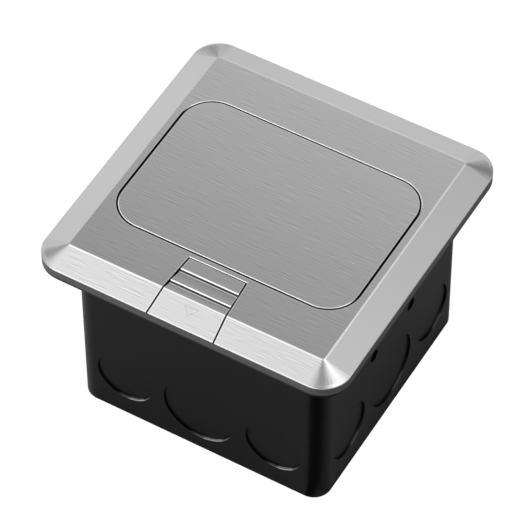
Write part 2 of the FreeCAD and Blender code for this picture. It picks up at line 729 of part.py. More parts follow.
# ---- socket carrier: two cheeks, ceiling, front fascia and the lip below the face ----
def build_carrier():
    body = new_body("socket_carrier")
    radius = D.carrier_radius
    up = D.face_height / 2
    wall = D.carrier_wall
    face_top = from_face(up, 0)
    front = face_top[0]
    back = hinge_y + D.ear_radius + 0.1
    side_view = [face_top, from_face(-up, 0), from_face(-up, -D.face_return), (hinge_y - 3, hinge_z - 18),
                 (back, hinge_z - 14), (back, carrier_top), (front, carrier_top)]
    pad(body, outline(body, "side_view", "YZ_Plane", side_view), 2 * carrier_half, both=True)
    knuckle = circles(body, "knuckle", "YZ_Plane", [(hinge_y, hinge_z, D.ear_radius + 0.1)])
    pad(body, knuckle, 2 * carrier_half, both=True)
    room = [(front + wall, carrier_ceiling), (front + wall, face_top[1] - 8), from_face(up - 3, 20),
            from_face(wall - up, 20), from_face(wall - up, -D.face_return - 20),
            (back + 9, carrier_ceiling - 8), (back + 9, carrier_ceiling)]
    pocket(body, outline(body, "room", "YZ_Plane", room), 2 * cheek_inside, both=True)
    rebate = [from_face(up, -D.insert_frame_thick), from_face(up, 5), from_face(-up - 5, 5),
              from_face(-up - 5, -D.insert_frame_thick)]
    pocket(body, outline(body, "frame_rebate", "YZ_Plane", rebate), 2 * cheek_inside, both=True)
    behind = [(hinge_y - 4, carrier_ceiling - 1), (back + 1, carrier_ceiling - 1), (back + 1, plate_under + 1),
              (hinge_y - 4, plate_under + 1)]
    pocket(body, outline(body, "behind_ceiling", "YZ_Plane", behind), 2 * cheek_inside, both=True)
    bore = [(hinge_y, hinge_z, D.pin_radius + D.running_gap + D.bush_wall)]
    pocket(body, circles(body, "bush_bore", "YZ_Plane", bore), 3 * carrier_half, both=True)
    # pads on the cheeks that the insert frame is screwed to
    block = [from_face(2.5, -D.insert_frame_thick), from_face(-2.5, -D.insert_frame_thick),
             from_face(-2.5, -D.insert_frame_thick - 6), from_face(2.5, -D.insert_frame_thick - 6)]
    for start, back_way in ((cheek_inside, True), (-cheek_inside, False)):
        pad(body, outline(body, "insert_pad", "YZ_Plane", block, start), D.insert_border - 0.4, back=back_way)
    pilots = circles(body, "insert_pilots", "XY_Plane", insert_screw_places(0.85))
    pilots.AttachmentOffset = FreeCAD.Placement(FreeCAD.Vector(), FreeCAD.Rotation(FreeCAD.Vector(1, 0, 0), 90))
    bind(pilots, "AttachmentOffset.Base.y", face_y)
    bind(pilots, "AttachmentOffset.Base.z", face_z)
    bind(pilots, "AttachmentOffset.Rotation.Angle", 90 + face_angle)
    pocket(body, pilots, 7.5)
    holes = [(x, y, 1.5) for x, y in lid_screw_places()]
    pocket(body, circles(body, "lid_screw_holes", "XY_Plane", holes, carrier_ceiling), wall, back=True)
    # square holes in the right cheek that the gear sector's pegs are staked in
    for low, high in peg_heights():
        window = rectangle(body, "peg_hole", "YZ_Plane", (hinge_y - peg_half - 0.05, hinge_y + peg_half + 0.05),
                           (low - 0.05, high + 0.05), carrier_half)
        pocket(body, window, wall)
    # peg on the left cheek that the spring lifts
    peg = circles(body, "spring_peg", "YZ_Plane", [(hinge_y - 12.5, hinge_z - 0.6, 0.8)], -carrier_half)
    pad(body, peg, 2.4, back=True)
    keep(body)


def insert_screw_places(radius):
    x = (insert_half + cheek_inside) / 2 + 0.1
    return [(side, 0, radius) for side in (-x, x)]


peg_half = as_size(1)


def peg_heights():
    """Lower and upper ends of the two pegs, down from the hinge."""
    return [(hinge_z - drop - peg_half, hinge_z - drop + peg_half) for drop in (6.4, 12)]


# ---- damper drive: toothed sector on the carrier, pinion on the damper's shaft ----
def half_tooth(teeth, radius):
    """Half the angle that one tooth takes up at a radius, in radians."""
    module, pressure = D.tooth_module.value, math.radians(25)
    pitch = module * teeth / 2
    base = pitch * math.cos(pressure)
    at_pitch = (math.pi * module / 2 - D.gear_backlash.value / 2) / (2 * pitch)
    here = math.acos(min(1.0, base / radius))
    return at_pitch + math.tan(pressure) - pressure - math.tan(here) + here


def tooth_points(teeth, centre):
    """One tooth about the origin, root to root, each involute flank drawn through three of its points."""
    module = D.tooth_module.value
    pitch = module * teeth / 2
    root, tip = pitch - 1.25 * module, pitch + module
    base = max(root + 0.05, pitch * math.cos(math.radians(25)))

    def spot(radius, side):
        angle = centre + side * half_tooth(teeth, max(radius, base))
        return FreeCAD.Vector(0, radius * math.cos(angle), radius * math.sin(angle))

    radii = [root, base, (base + tip) / 2, tip]
    return [spot(radius, -1) for radius in radii] + [spot(radius, 1) for radius in reversed(radii)]


def build_gears():
    along = FreeCAD.Vector(1, 0, 0)
    width = D.gear_width.value
    teeth = int(D.pinion_teeth.value)
    points = []
    for number in range(teeth):
        points += tooth_points(teeth, math.pi / 2 + 2 * math.pi * number / teeth)
    gap = D.body_gap.value
    gear = Part.Face(Part.makePolygon(points + points[:1])).extrude(along * (width - gap))
    shaft = Part.makeCylinder(D.shaft_radius.value, cradle_ear_x.value + D.ear_thick.value + 1.6 - gear_start.value - gap,
                              FreeCAD.Vector(), along)
    pinion = doc.addObject("Part::Feature", "damper_pinion")
    pinion.Label = "damper_pinion"
    pinion.Shape = gear.fuse(shaft).removeSplitter()
    pinion.Placement.Base = FreeCAD.Vector(gear_start.value + gap, hinge_y.value, pinion_z.value)
    keep(pinion)

    teeth = int(D.sector_teeth.value)
    points = []
    for number in range(9):
        points += tooth_points(teeth, -math.pi / 2 + (number - 0.5) * 2 * math.pi / teeth)
    hub = FreeCAD.Vector()
    blade = Part.Face(Part.makePolygon([hub] + points + [hub])).extrude(along * width)
    boss = Part.makeCylinder((D.ear_radius + 0.1).value, width, FreeCAD.Vector(), along)
    bore = Part.makeCylinder(D.pin_radius.value + 0.4, width, FreeCAD.Vector(), along)
    shape = blade.fuse(boss).cut(bore)
    side = 2 * peg_half.value
    for low, high in peg_heights():
        corner = FreeCAD.Vector(-D.carrier_wall.value, -peg_half.value, (low - hinge_z).value)
        shape = shape.fuse(Part.makeBox(D.carrier_wall.value, side, side, corner))
    sector = doc.addObject("Part::Feature", "gear_sector")
    sector.Label = "gear_sector"
    sector.Shape = shape.removeSplitter()
    sector.Placement.Base = FreeCAD.Vector(gear_start.value, hinge_y.value, hinge_z.value)
    keep(sector)

    housing = new_body("damper_housing")
    start = cradle_ear_x + D.ear_thick
    can = circles(housing, "damper_can", "YZ_Plane", [(hinge_y, pinion_z, D.damper_radius)], start)
    pad(housing, can, D.damper_thick)
    ears = [(hinge_y - 2, pinion_z - 10.4), (hinge_y + 2, pinion_z - 10.4), (hinge_y + 4.2, pinion_z),
            (hinge_y + 2, pinion_z + 10.4), (hinge_y - 2, pinion_z + 10.4), (hinge_y - 4.2, pinion_z)]
    pad(housing, outline(housing, "damper_ears", "YZ_Plane", ears, start), 1.4)
    bore = [(hinge_y, pinion_z, D.shaft_radius + D.running_gap)]
    pocket(housing, circles(housing, "damper_bore", "YZ_Plane", bore, start), 2, back=True)
    holes = [(hinge_y, pinion_z + lift, 1.1) for lift in (-8.6, 8.6)]
    pocket(housing, circles(housing, "damper_holes", "YZ_Plane", holes, start), 1.4, back=True)
    keep(housing)
    damper_screw = screw("damper_screw", 1.6, 1, 0.85, 1.4 + D.ear_thick - 0.2)
    places = [((start + 1.4, hinge_y, pinion_z + lift), HEAD_RIGHT) for lift in (-8.6, 8.6)]
    group("damper_screws", damper_screw, places)


# ---- latch: button in the cover plate, slider below the frame's web ----
def build_latch():
    button = new_body("latch_button")
    half = D.plate_side / 2
    pad(button, outline(button, "button_plan", "XY_Plane", button_slot(as_size(0), half), rim_under), top - rim_under)
    crease = D.flat_side / 2
    depth, run, floor = D.grip_depth, D.grip_run, D.grip_floor
    above = [(-D.grip_start, top + 1), (-D.grip_start, top), (-D.grip_start - run, top - depth),
             (-D.grip_start - run - floor, top - depth), (-D.grip_start - D.grip_pitch, top),
             (-D.grip_start - D.grip_pitch - run, top - depth), (-D.grip_start - D.grip_pitch - run - floor, top - depth),
             (-crease, top), (-half, rim_top), (-half - 1, rim_top), (-half - 1, top + 1)]
    pocket(button, outline(button, "button_top", "YZ_Plane", above), D.plate_side, both=True)
    under = [(-D.button_back + 1, rim_under - 1), (-D.button_back + 1, plate_under), (-crease + D.rim_width, plate_under),
             (-half + D.rim_width, rim_under), (-half + D.rim_width, rim_under - 1)]
    pocket(button, outline(button, "button_under", "YZ_Plane", under), D.plate_side, both=True)
    split = web_under + 0.4
    front, back = -D.slider_front + 0.4, -D.slider_back - 0.4
    foot = rectangle(button, "button_foot", "XY_Plane", (-D.slider_half + 0.4, D.slider_half - 0.4), (front, back), split)
    pad(button, foot, plate_under - split)
    pilots = [(x, y, 0.95) for x, y in slider_screw_places()]
    pocket(button, circles(button, "button_pilots", "XY_Plane", pilots, split), 1.8, back=True)
    keep(button)

    slider = new_body("latch_slider")
    low = band_under + D.body_gap
    base_half = D.slider_half + 1
    slide = (-D.slider_front, -D.slider_back)
    base = rectangle(slider, "slider_base", "XY_Plane", (-base_half, base_half), slide, low)
    pad(slider, base, web_under - D.body_gap - low)
    neck = rectangle(slider, "slider_neck", "XY_Plane", (-D.slider_half, D.slider_half), slide, low)
    pad(slider, neck, split - low)
    tip = -(D.carrier_radius - hinge_y + D.body_gap + 0.05)
    tongue = [(-D.slider_back - 1, low + 0.6), (tip, low + 0.6), (tip, low + 0.6 + D.tongue_thick * 0.5),
              (tip - 1.2, low + 0.6 + D.tongue_thick), (-D.slider_back - 1, low + 0.6 + D.tongue_thick)]
    pad(slider, outline(slider, "tongue", "YZ_Plane", tongue), 2 * D.tongue_half, both=True)
    spring_z = (low + web_under - D.body_gap) / 2
    pocket_back = -(D.slider_back + 2.2)
    bore = circles(slider, "spring_bore", "XZ_Plane", [(0, spring_z, D.spring_half + 0.15)], D.slider_front)
    pocket(slider, bore, D.slider_front + pocket_back)
    holes = [(x, y, 1.2) for x, y in slider_screw_places()]
    pocket(slider, circles(slider, "slider_holes", "XY_Plane", holes, low), 6, back=True)
    for x, y in slider_screw_places():
        sink = rectangle(slider, "slider_sink", "XY_Plane", (x - 2, x + 2), (y - 2, y + 2), low)
        pocket(slider, sink, 1.6, back=True)
    keep(slider)
    slider_screw = screw("slider_screw", 1.9, 1.2, 0.95, split - low)
    group("slider_screws", slider_screw, [((x, y, low + 1.6), HEAD_DOWN) for x, y in slider_screw_places()])

    bay_front = D.slider_front + D.latch_travel + D.body_gap
    outer, inner = D.spring_half, D.spring_half - 0.5
    length = bay_front + pocket_back
    spring = turned("spring_sleeve", [(inner, 0), (outer, 0), (outer, length), (inner, length)])
    group("latch_spring", spring, [((0, pocket_back, spring_z), FreeCAD.Rotation(FreeCAD.Vector(1, 0, 0), 90))])


def slider_screw_places():
    return [(x, -(D.slider_back + D.slider_screw_inset)) for x in (-D.slider_screw_x, D.slider_screw_x)]


# ---- socket inserts, in the socket face's own frame: X across, Y up the face, Z out of it ----
def build_insert_frame():
    frame = new_body("insert_frame")
    half = D.face_height / 2 - D.insert_gap
    side = cheek_inside - D.insert_gap
    thick = D.insert_frame_thick
    pad(frame, rectangle(frame, "bezel", "XY_Plane", (-side, side), (-half, half), -thick), thick)
    window = D.insert_height / 2 + 0.1
    opening = rectangle(frame, "window", "XY_Plane", (-insert_half - 0.1, insert_half + 0.1), (-window, window), -thick)
    pocket(frame, opening, thick, back=True)
    pocket(frame, circles(frame, "bezel_holes", "XY_Plane", insert_screw_places(0.95), -thick), thick, back=True)
    keep(frame, at_face=True)
    insert_screw = screw("insert_screw", 1.4, 0.8, 0.85, thick + 3)
    places = [((x, y, 0), UPRIGHT) for x, y, radius in insert_screw_places(1)]
    group("insert_screws", insert_screw, places, at_face=True)


def shell(body, name, centre, half_width, half_height, wall, front_wall, depth):
    """A moulded insert: a face plate, and behind it a narrower body that is open at the back."""
    thick = D.insert_frame_thick
    face = rectangle(body, f"{name}_face", "XY_Plane", (centre - half_width, centre + half_width),
                     (-half_height, half_height), -thick)
    pad(body, face, thick)
    inner_x, inner_y = half_width - 1.2, half_height - 2
    behind = rectangle(body, f"{name}_body", "XY_Plane", (centre - inner_x, centre + inner_x), (-inner_y, inner_y), -depth)
    pad(body, behind, depth - thick)
    hollow = rectangle(body, f"{name}_hollow", "XY_Plane", (centre - inner_x + wall, centre + inner_x - wall),
                       (-inner_y + wall, inner_y - wall), -depth)
    pocket(body, hollow, depth - front_wall, back=True)


def build_outlet():
    wall = D.insert_wall
    half_width, half_height = D.outlet_width / 2 - 0.1, D.insert_height / 2
    housing = new_body("outlet_housing")
    shell(housing, "outlet", outlet_x, half_width, half_height, wall, wall, D.insert_depth)
    neutral, live = outlet_x - D.blade_spacing / 2, outlet_x + D.blade_spacing / 2
    y = D.blade_height
    slots = ((neutral, D.blade_slot_long), (live, D.blade_slot_short))
    for x, tall in slots:
        slot = rectangle(housing, "blade_slot", "XY_Plane", (x - D.blade_slot / 2, x + D.blade_slot / 2),
                         (y - tall / 2, y + tall / 2), 0)
        pocket(housing, slot, wall)
    earth_y = y - D.earth_drop
    pocket(housing, circles(housing, "earth_hole", "XY_Plane", [(outlet_x, earth_y, D.earth_slot)]), wall)
    flat = rectangle(housing, "earth_top", "XY_Plane", (outlet_x - D.earth_slot, outlet_x + D.earth_slot),
                     (earth_y, earth_y + 1.6), 0)
    pocket(housing, flat, wall)
    # rails that the shutter runs between
    shutter_low, shutter_high = y - 6, y + 6
    rail_x = (outlet_x - 16, outlet_x + 16)
    for low, high in ((shutter_low - 1.6, shutter_low - 0.2), (shutter_high + 0.2, shutter_high + 1.6)):
        pad(housing, rectangle(housing, "rail", "XY_Plane", rail_x, (low, high), -wall - 2.2), 2.3)
    keep(housing, at_face=True)

    shutter = new_body("blade_shutter")
    front = -wall - 0.3
    reach = 11
    plate = rectangle(shutter, "shutter_plate", "XY_Plane", (outlet_x - reach, outlet_x + reach),
                      (shutter_low, shutter_high), front)
    pad(shutter, plate, 1.4, back=True)
    for x, tall in slots:
        slot = rectangle(shutter, "shutter_slot", "XY_Plane",
                         (x - D.blade_slot / 2 - D.shutter_travel, x + D.blade_slot / 2 - D.shutter_travel),
                         (y - tall / 2, y + tall / 2), front)
        pocket(shutter, slot, 1.4)
    ramps = [(outlet_x + D.blade_spacing / 2 - 1.6, front), (outlet_x + D.blade_spacing / 2 + 1.4, front),
             (outlet_x + D.blade_spacing / 2 + 1.4, front - 2.4)]
    pad(shutter, outline(shutter, "shutter_ramp", "XZ_Plane", ramps, -shutter_low), 1.6, back=True)
    keep(shutter, at_face=True)
    spring_length = half_width - 1.2 - wall - reach
    spring = turned("shutter_coil", [(0.6, 0), (1, 0), (1, spring_length), (0.6, spring_length)])
    place = ((outlet_x + reach, y, front - 0.7), HEAD_RIGHT)
    group("shutter_spring", spring, [place], at_face=True)

    base = new_body("outlet_base")
    inner_x, inner_y = half_width - 1.2, half_height - 2
    block = rectangle(base, "base_block", "XY_Plane", (outlet_x - inner_x, outlet_x + inner_x), (-inner_y, D.base_top),
                      -D.base_depth)
    pad(base, block, D.base_depth - D.insert_depth)
    spigot = rectangle(base, "base_spigot", "XY_Plane",
                       (outlet_x - inner_x + wall + 0.1, outlet_x + inner_x - wall - 0.1),
                       (-inner_y + wall + 0.1, inner_y - wall - 0.1), -D.insert_depth)
    pad(base, spigot, 3.5)
    rear = rectangle(base, "base_cover", "XY_Plane", (outlet_x - inner_x, outlet_x + inner_x), (D.base_top, inner_y),
                     -D.insert_depth)
    pad(base, rear, 1.8, back=True)
    cell_top = y + D.blade_slot_long / 2 + 0.6
    for x in (neutral, live):
        cell = rectangle(base, "blade_cell", "XY_Plane", (x - 2.2, x + 2.2), (y - 5, cell_top), -D.insert_depth + 3.5)
        pocket(base, cell, 13)
    pocket(base, circles(base, "earth_cell", "XY_Plane", [(outlet_x, earth_y, 3.6)], -D.insert_depth + 3.5), 13)
    keep(base, at_face=True)

    deep = -D.insert_depth + 3.5 - 13
    for label, x, tall in (("neutral_contact", neutral, 8.4), ("live_contact", live, 7)):
        clip = new_body(label)
        leaf = [(x - 1.6, deep), (x + 1.6, deep), (x + 1.9, deep + 12), (x + 1.1, deep + 12), (x + 0.75, deep + 10),
                (x + 0.8, deep + 1), (x - 0.8, deep + 1), (x - 0.75, deep + 10), (x - 1.1, deep + 12), (x - 1.9, deep + 12)]
        pad(clip, outline(clip, f"{label}_leaves", "XZ_Plane", leaf, -(y - 4.2)), tall, back=True)
        keep(clip, at_face=True)
    tube = turned("earth_tube", [(0, 0), (3.3, 0), (3.3, 12), (2.4, 12), (2.4, 1), (0, 1)])
    group("earth_contact", tube, [((outlet_x, earth_y, deep), UPRIGHT)], at_face=True)
    terminal = screw("terminal_screw", 2.6, 1.6, 1.4, 5)
    outwards = FreeCAD.Rotation(FreeCAD.Vector(1, 0, 0), 90)
    places = [((x, -inner_y, -D.base_depth + 2.6), outwards) for x in (outlet_x - 12, outlet_x, outlet_x + 12)]
    holes = [(x, -D.base_depth + 2.6, 1.4) for x in (outlet_x - 12, outlet_x, outlet_x + 12)]
    pocket(base, circles(base, "terminal_holes", "XZ_Plane", holes, inner_y), 5)
    group("terminal_screws", terminal, places, at_face=True)


def build_data():
    wall = D.insert_wall
    half_width, half_height = D.data_width / 2 - 0.1, D.insert_height / 2
    housing = new_body("data_housing")
    shell(housing, "data", data_x, half_width, half_height, wall, wall, D.insert_depth)
    jack_half = D.jack_width / 2
    low, high = -D.jack_drop - D.jack_height / 2, -D.jack_drop + D.jack_height / 2
    pocket(housing, rectangle(housing, "jack_hole", "XY_Plane", (data_x - jack_half, data_x + jack_half), (low, high), 0), wall)
    # rails of the dust shutter on the face
    shutter_half = jack_half + 1
    rail_low, rail_high = low - 1.4, high + D.dust_travel + 1.6
    rails = ((shutter_half + D.insert_gap, shutter_half + 1.2), (-shutter_half - 1.2, -shutter_half - D.insert_gap))
    for near, far in rails:
        pad(housing, rectangle(housing, "dust_rail", "XY_Plane", (data_x + near, data_x + far), (rail_low, rail_high), 0),
            D.dust_thick + 0.4)
    stop = rectangle(housing, "dust_stop", "XY_Plane", (data_x - shutter_half, data_x + shutter_half),
                     (rail_low, rail_low + 0.6), 0)
    pad(housing, stop, D.dust_thick)
    keep(housing, at_face=True)

    shutter = new_body("dust_shutter")
    x_range = (data_x - shutter_half, data_x + shutter_half)
    y_range = (low - 0.6, high + 0.9)
    pad(shutter, rectangle(shutter, "dust_plate", "XY_Plane", x_range, y_range, 0.15), D.dust_thick - 0.25)
    ridge = rectangle(shutter, "dust_ridge", "XY_Plane", (data_x - 3.5, data_x + 3.5), (low + 0.2, low + 1.2), 0.15)
    pad(shutter, ridge, D.dust_thick + 0.3)
    keep(shutter, at_face=True)

    jack = new_body("data_jack")
    body_half = jack_half + 1.5
    front = -wall
    block = rectangle(jack, "jack_block", "XY_Plane", (data_x - body_half, data_x + body_half), (low - 2, high + 3), -21)
    pad(jack, block, 21 - wall)
    well = rectangle(jack, "jack_well", "XY_Plane", (data_x - jack_half, data_x + jack_half), (low, high), front)
    pocket(jack, well, 13.5)
    ears = rectangle(jack, "jack_ears", "XY_Plane", (data_x - half_width + 1.2 + wall + 0.1, data_x + half_width - 1.3 - wall),
                     (low + 1, high - 1), -D.insert_depth)
    pad(jack, ears, 2)
    keep(jack, at_face=True)
    wire = new_body("jack_wire")
    line = [(0, 0), (0, -0.35), (9, -0.35), (9.4, -2), (9.8, -2), (9.4, 0)]
    pad(wire, outline(wire, "wire_line", "YZ_Plane", [(y, z) for z, y in line]), 0.4, both=True)
    places = [((data_x + (number - 3.5) * 1.02, high - 0.02, front - 13.4), UPRIGHT) for number in range(8)]
    group("jack_contacts", wire, places, at_face=True)


doc.recompute()
build_back_box()
build_box_fittings()
build_gasket()
build_under_frame()
build_cover_plate()
build_frame_fixings()
build_cradle()
build_hinge()
build_lid()
build_carrier()
build_gears()
build_latch()
build_insert_frame()
build_outlet()
build_data()

doc.recompute()
faults = [item.Label for item in doc.Objects if {"Invalid", "Error"} & set(item.State)]
faults += [label for label, part in parts.items() if part.Shape.isNull() or not part.Shape.isValid()]
if faults:
    raise RuntimeError(f"failed: {faults}")
os.makedirs("parts", exist_ok=True)
for label, part in parts.items():
    part.Shape.exportStep(f"parts/{label}.step")
    print(label, len(part.Shape.Solids), round(part.Shape.Volume, 1))
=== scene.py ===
import math

import bpy
import numpy as np
from mathutils import Matrix, Vector


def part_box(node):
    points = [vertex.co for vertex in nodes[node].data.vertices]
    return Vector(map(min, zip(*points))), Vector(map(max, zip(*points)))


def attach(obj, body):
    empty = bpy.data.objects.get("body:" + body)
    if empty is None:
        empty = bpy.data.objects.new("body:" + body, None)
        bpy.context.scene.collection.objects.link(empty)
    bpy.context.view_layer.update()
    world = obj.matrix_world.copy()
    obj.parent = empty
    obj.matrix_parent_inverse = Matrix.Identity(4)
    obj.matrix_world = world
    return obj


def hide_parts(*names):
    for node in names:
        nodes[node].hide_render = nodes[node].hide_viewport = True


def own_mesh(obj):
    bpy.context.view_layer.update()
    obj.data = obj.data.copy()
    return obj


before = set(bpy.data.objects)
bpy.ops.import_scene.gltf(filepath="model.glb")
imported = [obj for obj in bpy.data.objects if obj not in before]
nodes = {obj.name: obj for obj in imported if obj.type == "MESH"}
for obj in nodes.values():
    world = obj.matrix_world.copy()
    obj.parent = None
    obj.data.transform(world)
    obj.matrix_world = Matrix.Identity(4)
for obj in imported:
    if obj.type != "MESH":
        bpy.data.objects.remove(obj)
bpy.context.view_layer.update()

# ---- cover plate ----
# A square stainless steel pressing, satin brushed from side to side on its flat and on the bevel
# that carries the button, and left smooth on the other three bevels and the turned corners.


class Signal:
    """A shader socket with arithmetic: every operator adds one Math node to its finish."""

    def __init__(self, finish, socket):
        self.finish = finish
        self.socket = socket

    def __add__(self, other):
        return self.finish.math("ADD", self, other)

    def __sub__(self, other):
        return self.finish.math("SUBTRACT", self, other)

    def __rsub__(self, other):
        return self.finish.math("SUBTRACT", other, self)

    def __mul__(self, other):
        return self.finish.math("MULTIPLY", self, other)

    def __truediv__(self, other):
        return self.finish.math("DIVIDE", self, other)

    def __pow__(self, other):
        return self.finish.math("POWER", self, other)

    __radd__ = __add__
    __rmul__ = __mul__


class Finish:
    """One node tree, of a material or of the world, and the ways to add to it."""

    def __init__(self, name, tree=None):
        if tree is None:
            self.material = bpy.data.materials.new(name)
            self.material.use_nodes = True
            tree = self.material.node_tree
        self.tree = tree
        self.tree.nodes.clear()

    def node(self, kind, settings=None, sockets=None, output=0):
        """Adds a node, its settings first, then values or Signals on its sockets; returns one output,
        or nothing from a node that has none."""
        made = self.tree.nodes.new(kind)
        for key, value in (settings or {}).items():
            setattr(made, key, value)
        for key, value in (sockets or {}).items():
            if isinstance(value, Signal):
                self.tree.links.new(value.socket, made.inputs[key])
            else:
                made.inputs[key].default_value = value
        return Signal(self, made.outputs[output]) if made.outputs else None

    def math(self, operation, first, second=0.0):
        return self.node("ShaderNodeMath", {"operation": operation}, {0: first, 1: second})

    def least(self, first, second):
        return self.math("MINIMUM", first, second)

    def most(self, first, *others):
        """The largest of several values."""
        for other in others:
            first = self.math("MAXIMUM", first, other)
        return first

    def size(self, value):
        return self.math("ABSOLUTE", value)

    def step(self, value, low, high):
        """0 at low and before it, 1 at high and past it, and smooth between them."""
        return self.node("ShaderNodeMapRange", {"interpolation_type": "SMOOTHSTEP"},
                         {"Value": value, "From Min": low, "From Max": high})

    def band(self, value, low, high, soft=0.06):
        """1 between low and high, 0 outside."""
        return self.step(value, low - soft, low + soft) * self.step(value, high + soft, high - soft)

    def split(self, vector):
        """The three parts of a vector, as Signals."""
        return [self.node("ShaderNodeSeparateXYZ", sockets={0: vector}, output=axis) for axis in range(3)]

    def place(self):
        """The point on the piece in millimetres, as three Signals."""
        return [part * 1000.0 for part in self.split(self.node("ShaderNodeTexCoord", output=3))]

    def noise(self, x, y, z, detail, rough):
        """Cloud noise, 0 to 1, at a point given in periods."""
        point = self.node("ShaderNodeCombineXYZ", sockets={0: x, 1: y, 2: z})
        return self.node("ShaderNodeTexNoise", sockets={"Vector": point, "Scale": 1.0, "Detail": detail,
                                                        "Roughness": rough})

    def blend(self, mask, first, second):
        """Colour first where the mask is 0, second where it is 1."""
        return self.node("ShaderNodeMix", {"data_type": "RGBA"}, {0: mask, 6: first, 7: second}, output=2)

    def bump(self, height, strength, distance, **under):
        """The normal of a relief, on top of the normal given as Normal."""
        return self.node("ShaderNodeBump", sockets={"Height": height, "Strength": strength,
                                                    "Distance": distance, **under})

    def end(self, surface):
        """Sends a surface to the material's output."""
        self.node("ShaderNodeOutputMaterial", sockets={"Surface": surface})
        return self.material

    def close(self, sockets):
        """The Principled surface with these sockets, as the material's output."""
        return self.end(self.node("ShaderNodeBsdfPrincipled", sockets=sockets))


def grey(value):
    return (value, value, value, 1.0)


def wear(material, *pieces):
    """Gives CAD nodes one material all over."""
    for piece in pieces:
        data = nodes[piece].data
        data.materials.clear()
        data.materials.append(material)


def corner_in_mm(piece):
    """The highest corner of a piece's box, in millimetres."""
    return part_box(piece)[1] * 1000.0


PLATE_SIZE = corner_in_mm("cover_plate")
BEVEL_WIDTH, BEVEL_SLOPE = 10.0, 0.358
FLAT_HALF = PLATE_SIZE.x - BEVEL_WIDTH
LIP_START, LIP_FULL = BEVEL_WIDTH - 0.30, BEVEL_WIDTH - 0.15
STROKES_ALONG, STROKES_ACROSS = 0.12, 1.9    # brushing strokes to the millimetre
STEEL_DARK, STEEL_LIGHT = grey(0.36), grey(0.76)
# Painted light: a painted highlight on the creases and on the rims, and painted shade in the gaps, whose
# black also colours the engraved triangle.
STEEL_CREASE_HIGHLIGHT, STEEL_RIM_HIGHLIGHT, STEEL_SHADE_AND_ENGRAVING = grey(0.95), grey(0.98), grey(0.010)


def satin_steel(name, dress):
    """Satin stainless steel. The flat and the front bevel are brushed along X in strokes about 8 mm
    long and half a millimetre apart, the difference of one noise and the same noise moved sideways;
    the turned corners and the other bevels are smooth. The flat is painted lighter towards the back,
    a painted gradient of light. The walls of the gaps get painted shade below their rim, and the
    creases and the lower edge of the front bevel get painted highlights. dress(finish, x, y) gives
    the marks of one piece: a mask of painted highlights, a mask of painted shade (on the button also
    its engraved triangle) and the depth that its grooves have."""
    finish = Finish(name)
    x, y, z = finish.place()
    past_front = 0.0 - y - FLAT_HALF
    past_back = y - FLAT_HALF
    past_side = finish.size(x) - FLAT_HALF
    out_y = finish.most(past_front, past_back, 0.0)
    out_x = finish.most(past_side, 0.0)
    out = (out_x * out_x + out_y * out_y) ** 0.5
    depth = PLATE_SIZE.z - z - out * BEVEL_SLOPE
    flat = finish.step(out, 0.1, 0.0)
    front = finish.step(past_front, -0.1, 0.1) * finish.step(past_side, 0.6, -0.3)
    brushed = finish.most(flat, front)

    along, across = x * STROKES_ALONG, y * STROKES_ACROSS
    stroke = finish.noise(along, across, 7.0, 0.0, 0.5) - finish.noise(along, across + 0.45, 7.0, 0.0, 0.5)
    patch = finish.noise(along, y * 0.3, 1.0, 1.0, 0.5)
    streak = stroke * finish.step(patch, 0.35, 0.60) * brushed
    cloud = finish.noise(x * 0.012, y * 0.03, 3.0, 2.0, 0.5)
    # The term in y paints the flat lighter towards the back: a painted gradient of light.
    tone = streak * 0.60 + (cloud - 0.5) * 0.06 + y * 0.0032 * flat + 0.5
    colour = finish.blend(finish.step(tone, 0.0, 1.0), STEEL_DARK, STEEL_LIGHT)

    # Painted highlights along the creases between the flat and its front, back and right bevels.
    crease_start, crease_end = 0.1, 0.6    # mm past the flat
    beside_flat = finish.step(past_side, 0.3, -0.3)
    crease_front = finish.band(past_front, crease_start, crease_end) * beside_flat
    crease_back = finish.band(past_back, crease_start, crease_end) * beside_flat * 0.6
    crease_right = (finish.band(x - FLAT_HALF, crease_start, crease_end)
                    * finish.step(finish.size(y), FLAT_HALF + 0.3, FLAT_HALF - 0.3))
    crease_highlight = finish.most(crease_front, crease_right, crease_back) * 0.55
    colour = finish.blend(crease_highlight, colour, STEEL_CREASE_HIGHLIGHT)

    bright, dark, groove = dress(finish, x, y)
    # Painted highlights: the piece's own marks and a line along the lower edge of the front bevel.
    lip_highlight = finish.step(out, LIP_START, LIP_FULL) * finish.step(0.0 - y, 40.0, 50.0) * 0.7
    colour = finish.blend(finish.most(bright, lip_highlight), colour, STEEL_RIM_HIGHLIGHT)
    # Painted shade: black on the walls of the gaps below their rim, and on the piece's dark marks.
    gap_shade = finish.step(depth, 0.06 + groove, 0.16 + groove) * finish.step(out, 8.6, 8.4)
    colour = finish.blend(finish.most(gap_shade, dark), colour, STEEL_SHADE_AND_ENGRAVING)
    rough = streak * 0.06 + 0.25 + brushed * 0.05
    rim = finish.node("ShaderNodeBevel", {"samples": 8}, {"Radius": 0.0005})
    normal = finish.bump(streak, 0.15, 0.00004, Normal=rim)
    return finish.close({"Base Color": colour, "Metallic": 1.0, "Roughness": rough, "Normal": normal})


LID_SIZE = corner_in_mm("lid_panel")
LID_CORNER = 12.0
LID_GAP = 0.4
BUTTON_END = corner_in_mm("latch_button").y
BUTTON_HALF, BUTTON_FLARE = 8.608, 0.0715    # half width, carried back to the plate's centre, and gain per mm


